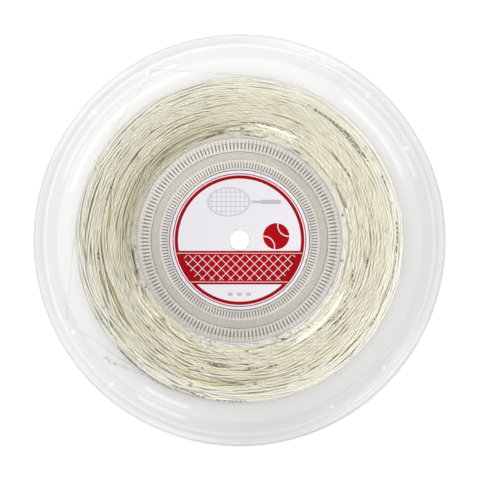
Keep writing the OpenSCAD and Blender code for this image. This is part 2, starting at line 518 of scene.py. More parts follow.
# %% Draw sections with rounded corners
# AIR is left where the halves touch. BEAD and HOLLOW are the radii of the bead on the rim and of
# the hollow beside it. SLOPE is the cone that leads from the hub down to the flange.
HUB_TOP = (TOP_Z - MIDDLE_Z) / MM
WALL = 1.75
AIR = 0.05
BEAD = 1.5
BEAD_CENTRE = (RIM - BEAD, HUB_TOP - BEAD)
BEAD_END = -116
HOLLOW = 4.5
PLATE_TOP = HUB_TOP - 2.0
STEP_HEIGHT = 0.45
STEP_TOP = PLATE_TOP + STEP_HEIGHT
OUTER_TOP = PLATE_TOP + 2 * STEP_HEIGHT
INNER_STEP = (RIM - 22, RIM - 19)
OUTER_STEP = (RIM - 14.7, RIM - 11.7)
STEP_ROUNDING = 3.0
PLATE_INSIDE = HUB_TOP - WALL
SEAT_RADIUS = 46.0
SEAT_TOP = HUB_TOP - 0.8
SPINDLE = 6.35
BOSS = 8.6
SLOPE = math.radians(25)
SLOPE_FOOT = 77.3
SLOPE_ROUNDING = 12.5
SLOPE_HEAD = SLOPE_FOOT - (HUB_TOP - PLATE_TOP) / math.tan(SLOPE)
THIN = WALL * math.tan(SLOPE / 2)
BESIDE_SLOPE = 1.3


def arc(centre, radius, start, end, count):
    """Points on an arc, in degrees, in the plane of a section."""
    angles = [math.radians(start + (end - start) * i / count) for i in range(count + 1)]
    return [(centre[0] + radius * math.cos(a), centre[1] + radius * math.sin(a)) for a in angles]


def rounded(corners, segments=4):
    """The corners (radius, height, rounding) as points, with the two end ones left out."""
    line = []
    for before, corner, after in zip(corners, corners[1:], corners[2:]):
        here, radius = Vector(corner[:2]), corner[2]
        back = (Vector(before[:2]) - here).normalized()
        on = (Vector(after[:2]) - here).normalized()
        half = math.acos(back.dot(on)) / 2
        reach = radius / math.tan(half)
        middle = here + (back + on).normalized() * (radius / math.sin(half))
        start, end = here + back * reach - middle, here + on * reach - middle
        line += [tuple(middle + start.slerp(end, k / segments) * radius) for k in range(segments + 1)]
    return line


# The bead on the rim and the hollow beside it are two arcs that run into each other.
hollow_rise = OUTER_TOP + HOLLOW - BEAD_CENTRE[1]
hollow_radius = BEAD_CENTRE[0] - math.sqrt((BEAD + HOLLOW) ** 2 - hollow_rise**2)
meet = math.degrees(math.asin(hollow_rise / (BEAD + HOLLOW)))
bead = arc((hollow_radius, OUTER_TOP + HOLLOW), HOLLOW, -90, -meet, 6)
bead += arc(BEAD_CENTRE, BEAD, 180 - meet, BEAD_END, 30)[1:]
outside = [
    (SLOPE_HEAD, HUB_TOP, 1.6),
    (SLOPE_FOOT, PLATE_TOP, SLOPE_ROUNDING),
    (INNER_STEP[0], PLATE_TOP, STEP_ROUNDING),
    (INNER_STEP[1], STEP_TOP, STEP_ROUNDING),
    (OUTER_STEP[0], STEP_TOP, STEP_ROUNDING),
    (OUTER_STEP[1], OUTER_TOP, STEP_ROUNDING),
]
inside = [
    (OUTER_STEP[1], OUTER_TOP - WALL, STEP_ROUNDING),
    (OUTER_STEP[0], STEP_TOP - WALL, STEP_ROUNDING),
    (INNER_STEP[1], STEP_TOP - WALL, STEP_ROUNDING),
    (INNER_STEP[0], PLATE_TOP - WALL, STEP_ROUNDING),
    (SLOPE_FOOT - THIN, PLATE_TOP - WALL, SLOPE_ROUNDING),
]
SLOPE_INSIDE = SLOPE_HEAD - THIN
COLLAR_ROOM = (SLOPE_INSIDE + BESIDE_SLOPE, PLATE_INSIDE - BESIDE_SLOPE * math.tan(SLOPE))
flange = rounded([(SEAT_RADIUS, HUB_TOP), *outside, bead[0]], 5) + bead
flange += [*rounded([bead[-1], *inside, COLLAR_ROOM], 5), COLLAR_ROOM]
print(len(flange), "points from the hub's edge round the rim and back")

# %% Place the points of each ring
# FLANK is the share of a tooth's pitch that one flank takes. The collar stands round the drum,
# and its gussets run out from it. A gusset's angles are in degrees round the reel.
TEETH = 160
GUSSETS = 16
STEPS = 4 * TEETH
FLANK = 0.04
OUTER_ROOT = 59.7
INNER_ROOT = 51.4
TOOTH = 3.6
DRUM = 67.0
COLLAR = DRUM + 1.0
COLLAR_END = 6.9
COLLAR_SLIP = 0.15
COLLAR_FOOT = 2.2
GUSSET = 4.0
GUSSET_ROOM = 0.15
GUSSET_HALF_ANGLE = 2.7
GUSSET_TURN = 16.5


def turn_of(step, share):
    """Angle of a step: four to a tooth, with the tip between the first two."""
    tooth, corner = divmod(step, 4)
    offset = (-share / 2, share / 2, share / 2 + FLANK, 1 - share / 2 - FLANK)[corner]
    return (tooth + offset) * 2 * math.pi / TEETH


def plain(step, radius, height):
    return radius, turn_of(step, 0.5), height


def toothed(tip, root, share):
    """A ring of teeth whose tips take this share of the pitch."""

    def place(step, radius, height):
        return (tip if step % 4 < 2 else root), turn_of(step, share), height

    return place


def gusset_reach(step):
    """How far the nearest gusset stands out from the collar here."""
    pitch = 360 / GUSSETS
    off = (math.degrees(turn_of(step, 0.5)) - GUSSET_TURN + pitch / 2) % pitch - pitch / 2
    return GUSSET * max(0.0, 1 - abs(off) / GUSSET_HALF_ANGLE)


def under_hub(radius):
    """Height of the inner face of a half near the foot of the drum."""
    return PLATE_INSIDE - max(0.0, radius - SLOPE_INSIDE) * math.tan(SLOPE)


def collar(step, radius, height):
    return COLLAR + gusset_reach(step), turn_of(step, 0.5), height


def collar_root(step, radius, height):
    reach = COLLAR + gusset_reach(step)
    return reach, turn_of(step, 0.5), under_hub(reach)


def beside_collar(step, radius, height):
    reach = max(COLLAR + COLLAR_FOOT, COLLAR + gusset_reach(step) + GUSSET_ROOM)
    return reach, turn_of(step, 0.5), under_hub(reach)


print(TEETH, "teeth and", GUSSETS, "gussets to a ring of", STEPS, "points")

# %% Spin a section
SPUN_MERGE = 0.001 * MM
SHARP = math.radians(28)
FLANKS_END = OUTER_ROOT * MM + 5 * MM
FACES_SIDEWAYS = 0.9


def spun(name, section, rear=False):
    """Spins a closed section. A point of it may carry the function that places its ring."""
    shape = bmesh.new()
    marks = shape.verts.layers.int.new("point")
    verts = [shape.verts.new((p[0] * MM, 0, p[1] * MM)) for p in section]
    for i, vert in enumerate(verts):
        vert[marks] = i
    edges = [shape.edges.new((verts[i - 1], verts[i])) for i in range(len(verts))]
    sector = 2 * math.pi / GUSSETS
    bmesh.ops.spin(
        shape, geom=verts + edges, cent=(0, 0, 0), axis=(0, 0, 1), dvec=(0, 0, 0),
        angle=sector, steps=STEPS // GUSSETS, use_merge=False, use_duplicate=False,
    )
    for vert in shape.verts:
        radius, height, *way = section[vert[marks]]
        step = round(math.atan2(vert.co.y, vert.co.x) / (2 * math.pi) * STEPS)
        radius, turn, height = (way[0] if way else plain)(step, radius, height)
        vert.co = (radius * MM * math.cos(turn), radius * MM * math.sin(turn), height * MM)
    copies = 1
    while copies < GUSSETS:
        copy = bmesh.ops.duplicate(shape, geom=[*shape.verts, *shape.edges, *shape.faces])
        fresh = [part for part in copy["geom"] if isinstance(part, bmesh.types.BMVert)]
        turn = Matrix.Rotation(copies * sector, 3, "Z")
        bmesh.ops.rotate(shape, verts=fresh, cent=(0, 0, 0), matrix=turn)
        copies *= 2
    bmesh.ops.remove_doubles(shape, verts=shape.verts, dist=SPUN_MERGE)
    if rear:
        bmesh.ops.scale(shape, vec=(1, 1, -1), verts=shape.verts)
    bmesh.ops.translate(shape, verts=shape.verts, vec=(0, 0, MIDDLE_Z))
    bmesh.ops.recalc_face_normals(shape, faces=shape.faces)
    for face in shape.faces:
        centre = face.calc_center_median()
        out = Vector((centre.x, centre.y, 0))
        sideways = abs(face.normal.dot(out.normalized().cross(Vector((0, 0, 1)))))
        if sideways > FACES_SIDEWAYS and out.length < FLANKS_END:
            face.material_index = 1
    mesh = bpy.data.meshes.new(name)
    shape.to_mesh(mesh)
    shape.free()
    mesh.shade_smooth()
    mesh.set_sharp_from_angle(angle=SHARP)
    return new_object(name, mesh)


def pierced(item, first_turn, count, radius, width):
    """Drills holes through a spun piece, parallel to its axis."""
    drill = bmesh.new()
    for i in range(count):
        turn = math.radians(first_turn) + i * 2 * math.pi / count
        spot = Matrix.Translation((radius * math.cos(turn), radius * math.sin(turn), MIDDLE_Z))
        bmesh.ops.create_cone(
            drill, cap_ends=True, segments=48, radius1=width / 2, radius2=width / 2,
            depth=2 * TOP_Z, matrix=spot,
        )
    mesh = bpy.data.meshes.new("drill")
    drill.to_mesh(mesh)
    drill.free()
    cutter = new_object("drill", mesh)
    hole = item.modifiers.new("holes", "BOOLEAN")
    hole.solver = "MANIFOLD"
    hole.object = cutter
    fine = bpy.data.meshes.new_from_object(item.evaluated_get(bpy.context.evaluated_depsgraph_get()))
    fine.set_sharp_from_angle(angle=SHARP)
    item.modifiers.clear()
    item.data = fine
    bpy.data.objects.remove(cutter)


print("ready to spin, with edges sharp from", round(math.degrees(SHARP)), "degrees")

# %% [markdown]
# The front half carries the plug ring: teeth on its outside and inside, drawn narrower at the
# far end as a mould needs. The rear half carries the two walls that it presses between, with
# notches of the same teeth and a little play. A trough in the front face keeps the plug's wall
# about as thin as the rest. Tuck holes for the end of the string go right through each flange.

# %% Make both halves
# Shares of the pitch are given for the root of the plug's teeth and their far end, and for the
# mouth of the notches and their floor.
PLUG_DEPTH = 6.0
PLAY = 0.3
PLUG_SHARES = (0.80, 0.60)
NOTCH_SHARES = (0.90, 0.70)
SEAT_PLAY = 0.1
TUCK_HOLES = 4
TUCK_RADIUS = REEL_RADIUS - 9 * MM
TUCK_WIDTH = 3 * MM

seat = rounded(
    [
        (0, SEAT_TOP),
        (SEAT_RADIUS, SEAT_TOP, 0.25),
        (SEAT_RADIUS, HUB_TOP, 0.3),
        (DRUM, HUB_TOP),
    ]
)
trough = rounded(
    [
        (SEAT_RADIUS, HUB_TOP),
        (INNER_ROOT + WALL, HUB_TOP, 0.35),
        (INNER_ROOT + WALL, WALL - PLUG_DEPTH, 0.5),
        (OUTER_ROOT - WALL, WALL - PLUG_DEPTH, 0.5),
        (OUTER_ROOT - WALL, HUB_TOP, 0.35),
        (DRUM, HUB_TOP),
    ]
)
collar_outside = [
    (COLLAR, PLATE_INSIDE, beside_collar),
    (COLLAR, PLATE_INSIDE, collar_root),
    (COLLAR, COLLAR_END, collar),
]
centre = [
    (SEAT_RADIUS, SEAT_TOP - WALL),
    (BOSS, SEAT_TOP - WALL),
    (BOSS, AIR),
    (SPINDLE, AIR),
]
front_section = [
    (SPINDLE, SEAT_TOP),
    *seat,
    *trough,
    *flange,
    *collar_outside,
    (DRUM + COLLAR_SLIP, COLLAR_END),
    (DRUM + COLLAR_SLIP, PLATE_INSIDE),
    (OUTER_ROOT, PLATE_INSIDE, toothed(OUTER_ROOT + TOOTH, OUTER_ROOT, PLUG_SHARES[0])),
    (OUTER_ROOT, -PLUG_DEPTH, toothed(OUTER_ROOT + TOOTH, OUTER_ROOT, PLUG_SHARES[1])),
    (INNER_ROOT, -PLUG_DEPTH, toothed(INNER_ROOT - TOOTH, INNER_ROOT, PLUG_SHARES[1])),
    (INNER_ROOT, PLATE_INSIDE, toothed(INNER_ROOT - TOOTH, INNER_ROOT, PLUG_SHARES[0])),
    (SEAT_RADIUS, PLATE_INSIDE),
    *centre,
]
WALL_TOP = AIR - PLATE_INSIDE
NOTCH_OUT = OUTER_ROOT + PLAY
NOTCH_IN = INNER_ROOT - PLAY
rear_section = [
    (SPINDLE, SEAT_TOP),
    *seat,
    *flange,
    *collar_outside,
    (DRUM, COLLAR_END),
    (DRUM, WALL_TOP),
    (NOTCH_OUT, WALL_TOP, toothed(NOTCH_OUT + TOOTH, NOTCH_OUT, NOTCH_SHARES[0])),
    (NOTCH_OUT, PLATE_INSIDE, toothed(NOTCH_OUT + TOOTH, NOTCH_OUT, NOTCH_SHARES[1])),
    (NOTCH_IN, PLATE_INSIDE, toothed(NOTCH_IN - TOOTH, NOTCH_IN, NOTCH_SHARES[1])),
    (NOTCH_IN, WALL_TOP, toothed(NOTCH_IN - TOOTH, NOTCH_IN, NOTCH_SHARES[0])),
    (SEAT_RADIUS + SEAT_PLAY, WALL_TOP),
    (SEAT_RADIUS + SEAT_PLAY, PLATE_INSIDE),
    *centre,
]
for name, node, section, rear, hole_turn in (
    ("front_half", "front_flange", front_section, False, 48.5),
    ("rear_half", "rear_flange", rear_section, True, 29.0),
):
    half = spun(name, section, rear)
    half.data.materials.append(plastic)
    half.data.materials.append(grained_shaded_flanks if rear else plastic)
    pierced(half, hole_turn, TUCK_HOLES, TUCK_RADIUS, TUCK_WIDTH)
    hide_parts(node)
    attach(half, "root")
    print(name, len(half.data.polygons), "faces")

# %% [markdown]
# ## The winding
# The string makes 367 turns in 32 layers between the flanges. On the real reel no turn lies
# quite true: it slides into a hollow, climbs its neighbour and slips back. So the path starts as
# an even winding with some random wander, and is then packed. At 144 stations round the reel the
# turns are discs that push each other apart, while the string's stiffness smooths each turn and
# its tension draws it to the drum. The wander is larger on one side of the reel than opposite.

# %% Lay out and pack the turns
# WANDER is how far a turn strays in radius and in height, with a new value every WANDER_LENGTH
# stations. LOOSE says how much of it there is: its average, and its change round the reel, with
# the least of it at TIDY_SIDE, in radians. A turn can only touch the next REACH turns.
STRING_WIDTH = 1.3 * MM
STATIONS = 144
TURNS = 367
TURNS_PER_LAYER = 11.4
WANDER = (2.8 * MM, 1.6 * MM)
WANDER_LENGTH = 11
LOOSE = (0.80, 0.38)
TIDY_SIDE = 0.85
PACKING_ROUNDS = 150
REACH = 27
TENSION = 0.012 * MM
SUPPLENESS = 0.1
SEED = 4
PUSH = 1.6
TENSE_ROUNDS = PACKING_ROUNDS * 0.7
LEAST_SQUARE = 1e-12

string_inner = (DRUM + AIR) * MM + STRING_WIDTH / 2
string_outer = WINDING_RADIUS - STRING_WIDTH / 2
string_side = WINDING_HALF_WIDTH - STRING_WIDTH / 2
gusset_end = (COLLAR + GUSSET) * MM + STRING_WIDTH / 2
under_gussets = (COLLAR_END - AIR) * MM - STRING_WIDTH / 2


def wander(source, count, length):
    """Smooth random numbers along the string, with a new value every so many stations."""
    knots = source.standard_normal(int(count / length) + 4)
    at = np.arange(count) / length
    knot = at.astype(int)
    share = at - knot
    share = share * share * (3 - 2 * share)
    return knots[knot] * (1 - share) + knots[knot + 1] * share


def pack_turns():
    """Radius and height of the string at every station of every turn."""
    source = np.random.default_rng(SEED)
    count = TURNS * STATIONS
    turn = np.arange(count) / STATIONS
    sweep = np.abs((turn / TURNS_PER_LAYER) % 2 - 1) * 2 - 1
    radius = string_inner + (string_outer - string_inner) * turn / TURNS
    loose = LOOSE[0] - LOOSE[1] * np.cos(2 * math.pi * turn - TIDY_SIDE)
    radius += WANDER[0] * loose * wander(source, count, WANDER_LENGTH)
    height = string_side * sweep + WANDER[1] * loose * wander(source, count, WANDER_LENGTH)
    path = np.stack([radius, height]).reshape(2, TURNS, STATIONS)
    for step in range(PACKING_ROUNDS):
        moves, touches = np.zeros_like(path), np.zeros(path.shape[1:])
        for apart in range(1, REACH + 1):
            between = path[:, apart:] - path[:, :-apart]
            length = np.sqrt(np.maximum((between * between).sum(0), LEAST_SQUARE))
            close = length < STRING_WIDTH
            push = between * np.where(close, (STRING_WIDTH - length) / length / 2, 0)
            moves[:, apart:] += push
            moves[:, :-apart] -= push
            touches[apart:] += close
            touches[:-apart] += close
        path += moves / np.maximum(touches, 1) * PUSH
        run = path.reshape(2, -1)
        eased = run.copy()
        eased[:, 1:-1] += SUPPLENESS * ((run[:, 2:] + run[:, :-2]) / 2 - run[:, 1:-1])
        path = eased.reshape(2, TURNS, STATIONS)
        if step < TENSE_ROUNDS:
            path[0] -= TENSION
        path[0] = np.clip(path[0], string_inner, string_outer)
        room = np.where(path[0] < gusset_end, under_gussets, string_side)
        path[1] = np.clip(path[1], -room, room)
    return path.reshape(2, -1)


def string_points():
    radius, height = pack_turns()
    angle = np.arange(len(radius)) * 2 * math.pi / STATIONS
    points = [radius * np.cos(angle), radius * np.sin(angle), MIDDLE_Z + height]
    return np.stack(points, axis=1)


points = string_points()
steps = np.linalg.norm(np.diff(points, axis=0), axis=1)
along = np.concatenate([[0], np.cumsum(steps)])
print("string length", round(along[-1], 1), "m in", TURNS, "turns")

# %% [markdown]
# ## From path to string
# A curve with a round bevel sweeps a section along the path, which is just what a string is.
# Turned into a mesh, its rings come in order, so each vertex can keep two facts for the
# finish: how far along the string it is and on which side.

# %% Sweep the string
SECTION_SIDES = 6
PARTS = 4


def swept(name, start, end):
    """A closed tube along the points from start to end, with its run and side stored on it."""
    line = bpy.data.curves.new(name, "CURVE")
    line.dimensions = "3D"
    line.twist_mode = "Z_UP"
    line.bevel_depth = STRING_WIDTH / 2
    line.bevel_resolution = SECTION_SIDES // 2 - 2
    part = points[start : end + 1]
    spline = line.splines.new("POLY")
    spline.points.add(len(part) - 1)
    spline.points.foreach_set("co", np.c_[part, np.ones(len(part))].ravel())
    holder = bpy.data.objects.new(name, line)
    mesh = bpy.data.meshes.new_from_object(holder)
    bpy.data.objects.remove(holder)
    tube = bmesh.new()
    tube.from_mesh(mesh)
    bmesh.ops.holes_fill(tube, edges=[e for e in tube.edges if e.is_boundary], sides=0)
    bmesh.ops.recalc_face_normals(tube, faces=tube.faces)
    tube.to_mesh(mesh)
    tube.free()
    side = np.tile(np.arange(SECTION_SIDES) * 2 * math.pi / SECTION_SIDES, len(part))
    run = np.repeat(along[start : end + 1], SECTION_SIDES)
    facts = np.stack([np.cos(side), np.sin(side), run], axis=1).astype(np.float32)
    mesh.attributes.new("lay", "FLOAT_VECTOR", "POINT").data.foreach_set("vector", facts.ravel())
    mesh.shade_smooth()
    return mesh


cuts = [round(i * (len(points) - 1) / PARTS) for i in range(PARTS + 1)]
lengths = [swept(f"string_turns_{i + 1}", cuts[i], cuts[i + 1]) for i in range(PARTS)]
print("swept", len(lengths), "lengths of string")

# %% [markdown]
# ## The finish of the string
# Racket string is a cable of fine strands, milky rather than clear, so light sinks in a little
# and comes out again beside: that is subsurface scattering. The twist is a wave that runs round
# the section, and it paints shade into the grooves between the plies and a highlight onto their
# crests. Its phase follows the angle round the reel and shifts a little from turn to turn, so
# neighbouring turns show slanting strokes of painted highlight side by side, as wound string
# does. Then the place in the winding counts, and more light and shade is painted into the
# colour: painted light on the sides of the turns, where light seeps in between them, and on the
# outer turns; painted shade that yellows on the way down to buried turns and on the turns beside
# the drum on one side, which the drum keeps the light off; and painted light on the turns at its
# very foot on the other side, which catch some through the clear plastic.
# Small print runs along one side of the string. Buried turns go without it, because only
# scraps of it would show between the others.

# %% Make the finish of the string
# The wave of the strands turns PLIES_ROUND times round the reel, shifts by PLY_SHIFT radians to
# the millimetre of radius, and in patches runs ahead by up to PLY_LEAD. The print comes back every
# PRINT_REPEAT metres, is PRINT_LENGTH long and goes round the string once in PRINT_TURN metres.
# LETTERS and WORDS are blobs of noise to the metre.
PLIES_ROUND = 42
PLY_SHIFT = 1.0
PLY_LEAD = 7
# Directions of the painted shade beside the drum and of the painted light at its foot.
PAINTED_SHADE_WAY = (-0.85, 0.53)
PAINTED_LIGHT_WAY = (0.60, -0.80)
PRINT_REPEAT = 0.62
PRINT_LENGTH = 0.050
PRINT_END = 0.001
PRINT_TURN = 0.61
LETTERS = 640
WORDS = 70


def ply_shade_and_highlight(finish, plies, run):
    """Cream strands, with painted shade in the grooves between them and painted highlights on their
    crests.
    """
    tone = finish.noise(finish.together(run * 9, 0.0, 0.0), 1.0, 2.0)
    base = finish.blend(tone.ramp(0.3, 0.7), colour(246, 241, 223), colour(240, 234, 213))
    # Painted shade in the grooves, then a painted highlight on the crests.
    base = finish.blend(plies.ramp(0.0, 0.6), colour(210, 202, 164), base)
    return finish.blend(plies.ramp(0.75, 1.0, 0.0, 0.65), base, colour(255, 253, 245))


def painted_light_by_place(finish, base, over, depth):
    """Painted light on turn sides, outer turns, drum foot; painted shade deep down, by the drum; dark
    clouds.
    """
    x, y, z = finish.apart(finish.place())
    radius = finish.from_axis()
    # Painted light: the sides of each turn are lighter, where light seeps in between the turns.
    base = finish.blend(over.ramp(0.35, 0.95, 0.85, 0.0), base, colour(255, 251, 238))
    clouds = finish.noise(finish.place(), 150.0, 1.0)
    base = finish.blend(clouds.ramp(0.35, 0.62, 0.40, 0.0), base, colour(226, 219, 190))
    # Painted shade: turns further down are yellower and darker.
    base = finish.blend(depth.ramp(0.9, 2.6, 0.0, 0.85), base, colour(225, 216, 162))
    # Painted light: the outer turns are whiter.
    base = finish.blend(radius.ramp(92.0, 104.0, 0.0, 0.75), base, colour(255, 252, 237))
    # Painted shade: on one side the turns beside the drum are darker.
    shaded = (x * PAINTED_SHADE_WAY[0] + y * PAINTED_SHADE_WAY[1]) / MM / radius
    painted_drum_shade = radius.ramp(73.0, 85.0, 1.0, 0.0) * shaded.ramp(0.35, 0.95, 0.0, 0.9)
    base = finish.blend(painted_drum_shade, base, colour(205, 199, 168))
    # Painted light: on the other side the turns at the drum's very foot are almost white.
    bright = (x * PAINTED_LIGHT_WAY[0] + y * PAINTED_LIGHT_WAY[1]) / MM / radius
    painted_foot_light = radius.ramp(69.5, 72.0, 1.0, 0.0) * bright.ramp(0.2, 0.9, 0.35, 0.95)
    return finish.blend(painted_foot_light, base, colour(254, 252, 246))


def print_mask(finish, side, run, over, depth):
    """1 in the strokes of the print: words of short strokes on the side that it is printed on."""
    facing = (side - run * (2 * math.pi / PRINT_TURN)).maths("COSINE").ramp(-0.05, 0.05)
    shown = over.ramp(0.72, 0.80) * finish.from_axis().ramp(75.5, 77.5) * depth.ramp(1.0, 1.7, 1.0, 0.0)
    line = run.wrapped(PRINT_REPEAT).ramp(PRINT_LENGTH, PRINT_LENGTH + PRINT_END, 1.0, 0.0)
    letters = finish.noise(finish.together(run * LETTERS, 0.0, 0.0), 1.0, 0.0).ramp(0.44, 0.47)
    words = finish.noise(finish.together(run * WORDS, 0.0, 0.0), 1.0, 0.0).ramp(0.36, 0.38)
    return line * facing * shown * letters * words


def string_finish():
    """Twisted milky strands with painted light and shade, and a line of small print."""
    finish = Finish("string")
    lay = finish.add("ShaderNodeAttribute", {"attribute_name": "lay"}, output="Vector")
    cosine, sine, run = finish.apart(lay)
    side = sine.maths("ARCTAN2", cosine)
    x, y, z = finish.apart(finish.place())
    radius = finish.from_axis()
    lead = finish.noise(finish.place(), 45.0, 1.0) * PLY_LEAD
    twist = y.maths("ARCTAN2", x) * PLIES_ROUND - side - radius * PLY_SHIFT + lead
    plies = abs(twist.sine())
    fibres = finish.noise(finish.together(side * 2.0, run * 200, 0.0), 1.6, 2.0)
    over = abs(finish.apart(finish.add("ShaderNodeNewGeometry", output="Normal"))[2])
    below_side = abs(z / MM - MIDDLE_Z / MM) * -1 + WINDING_HALF_WIDTH / MM
    depth = below_side.lower(radius * -1 + WINDING_RADIUS / MM)
    base = painted_light_by_place(finish, ply_shade_and_highlight(finish, plies, run), over, depth)
    ink = print_mask(finish, side, run, over, depth)
    shape = plies.root() * 0.8 + fibres * 0.2
    return finish.surface(
        finish.add(
            "ShaderNodeBsdfPrincipled",
            inputs={
                "Base Color": finish.blend(ink, base, colour(16, 13, 5)),
                "Roughness": fibres.ramp(0.2, 0.8, 0.42, 0.56),
                "IOR": 1.5,
                "Specular IOR Level": 0.25,
                "Subsurface Weight": 0.8,
                "Subsurface Radius": (1.0, 1.0, 1.0),
                "Subsurface Scale": 0.7 * MM,
                "Normal": finish.bump(shape, 0.06 * MM),
            },
        )
    )


string = string_finish()
for mesh in lengths:
    mesh.materials.clear()
    mesh.materials.append(string)
    item = new_object(mesh.name, mesh)
    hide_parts("string_core", "string_outer_turns")
    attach(item, "root")
    print(item.name, len(mesh.polygons), "faces")

# %% [markdown]
# ## The labels
# Each label is a disc of satin paper with a hole, stuck in its seat. A real one is never quite
# flat, so its rings get a faint wave. The print is plain geometry, so a formula draws it: two
# red rings, a red band with a net across it, a ball with its seam, a racket and three swatches.

# %% Choose sizes and inks of the print
# Places and sizes are in millimetres from the middle of the label. The frame of the racket's
# head and the inside of it are shares of the head's size. Strings have a pitch and a width.
PRINT_EDGE = 0.06
LINE_START = 0.2
HEAD_SPOT = (-7, 25)
HEAD_SIZE = (14, 9.5)
HEAD_FRAME = (0.93, 1.0)
HEAD_INSIDE = 0.94
HEAD_STRINGS = (3.1, 0.4)
SHAFT = ((8.0, 14.0), (24.2, 25.8))
GRIP = ((14.0, 27.0), (23.6, 26.4))
SWATCH_ROW = ((-9, 9), (-36.5, -34.3))
SWATCH_PITCH = 6
SWATCH = (1.5, 4.5)
BALL_SPOT = (24, 2.5)
BALL = 8.6
SEAM_SPOTS = ((16, -4.5), (32, 9.5))
SEAM = (6.6, 7.3)
RINGS = ((40.2, 42.4), (43.1, 43.7))
BAND = (-29.0, -7.0)
BAND_END = 41.9
BAND_LINES = ((-27.6, -27.2), (-8.8, -8.4))
NET = (-26.2, -9.8)
NET_END = 38.0
NET_STRINGS = (6.2, 0.6)
GREY_INK = colour(188, 188, 193)
BARE_PAPER = colour(222, 222, 227)


def within(value, low, high):
    """1 where a value lies between two others, with edges as sharp as print."""
    return value.between((low - PRINT_EDGE, low + PRINT_EDGE), (high - PRINT_EDGE, high + PRINT_EDGE))


def below(value, high):
    return value.ramp(high - PRINT_EDGE, high + PRINT_EDGE, 1.0, 0.0)


def bar(x, y, across, up):
    return within(x, *across) * within(y, *up)


def away_from(x, y, spot):
    """Distance from a spot."""
    return ((x - spot[0]) ** 2 + (y - spot[1]) ** 2).root()


def lattice(across, along, pitch, width):
    """Two sets of crossing lines."""
    first = within(across.wrapped(pitch), LINE_START, LINE_START + width)
    return first.higher(within(along.wrapped(pitch), LINE_START, LINE_START + width))


def racket(x, y):
    """An oval frame with crossing strings, a shaft and a grip."""
    oval = (((x - HEAD_SPOT[0]) / HEAD_SIZE[0]) ** 2 + ((y - HEAD_SPOT[1]) / HEAD_SIZE[1]) ** 2).root()
    strings = below(oval, HEAD_INSIDE) * lattice(x, y, *HEAD_STRINGS)
    return within(oval, *HEAD_FRAME).higher(strings).higher(bar(x, y, *SHAFT)).higher(bar(x, y, *GRIP))


print("ready to print, with edges of", PRINT_EDGE, "mm")

# %% Print the labels
def label_finish():
    finish = Finish("label_paper")
    place = finish.place()
    x, y, z = [part / MM for part in finish.apart(place)]
    radius = finish.from_axis()
    paper = finish.noise(place, 900.0, 3.0)
    base = finish.blend(paper, colour(228, 226, 231), colour(232, 230, 235))
    swatches = bar(x, y, *SWATCH_ROW) * within((x - SWATCH_ROW[0][0]).wrapped(SWATCH_PITCH), *SWATCH)
    base = finish.blend(racket(x, y).higher(swatches), base, GREY_INK)
    ball = below(away_from(x, y, BALL_SPOT), BALL)
    band = within(y, *BAND) * below(radius, BAND_END)
    red = ball.higher(band)
    for ring in RINGS:
        red = red.higher(within(radius, *ring))
    red_ink = finish.blend(radius.ramp(20, 40), colour(170, 1, 15), colour(156, 1, 13))
    base = finish.blend(red, base, red_ink)
    seam = away_from(x, y, SEAM_SPOTS[0]).lower(away_from(x, y, SEAM_SPOTS[1]))
    bare = within(seam, *SEAM) * ball
    net = lattice(x + y, x - y, *NET_STRINGS) * within(y, *NET) * below(radius, NET_END)
    bare = bare.higher(net)
    for line in BAND_LINES:
        bare = bare.higher(within(y, *line) * band)
    base = finish.blend(bare, base, BARE_PAPER)
    return finish.surface(
        finish.add(
            "ShaderNodeBsdfPrincipled",
            inputs={
                "Base Color": base,
                "Roughness": paper.ramp(0.3, 0.7, 0.36, 0.44),
                "Specular IOR Level": 0.12,
                "Normal": finish.bump(paper, 0.01 * MM),
            },
        )
    )


print("red rings from", RINGS[0][0], "to", RINGS[-1][1], "mm")

# %% Cut the labels
LABEL_HOLE = 6.75
LABEL_ROUNDING = 0.1
LABEL_PLAY = 0.04
LABEL_RINGS = 12
WAVE_HEIGHT = 0.03
WAVES_ROUND = 16
WAVE_FADE = 20


def wavy(step, radius, height):
    """A ring of the label, lifted and lowered a little on its way round."""
    turn = turn_of(step, 0.5)
    share = min(1.0, (radius - LABEL_HOLE) / WAVE_FADE)
    return radius, turn, height + WAVE_HEIGHT * math.sin(WAVES_ROUND * turn + radius) * share


label_low, label_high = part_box("front_label")
LABEL_RADIUS = label_high.x / MM
LABEL_UNDER = (label_low.z - MIDDLE_Z) / MM + LABEL_PLAY
LABEL_TOP = (label_high.z - MIDDLE_Z) / MM - LABEL_PLAY
label_reach = LABEL_RADIUS - LABEL_ROUNDING - LABEL_HOLE
label_rings = [LABEL_HOLE + label_reach * i / LABEL_RINGS for i in range(LABEL_RINGS + 1)]
label_section = [(radius, LABEL_TOP, wavy) for radius in label_rings]
label_section += [(LABEL_RADIUS, (LABEL_TOP + LABEL_UNDER) / 2)]
label_section += [(radius, LABEL_UNDER, wavy) for radius in reversed(label_rings)]
paper = label_finish()
for name, node, rear in (("front_print", "front_label", False), ("rear_print", "rear_label", True)):
    label = spun(name, label_section, rear)
    label.data.materials.append(paper)
    for face in label.data.polygons:
        face.material_index = 0
    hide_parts(node)
    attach(label, "root")
    print(name, len(label.data.polygons), "faces")

# %% [markdown]
# ## Film and tape
# A narrow band of thin film keeps the last turns from springing off. It is cut from a flat
# strip, laid once round the winding and closed with tape, and it is slack in two places, where
# it stands off in a blunt corner. One end of the tape has come off and stands away, crinkled.
# Both are made as a flat grid that is then laid round, and the length of strip to cut is
# measured along its two long edges. Noise gives the slack stretches their soft folds. Film this
# thin bends light very little, so half of it is simply see-through.

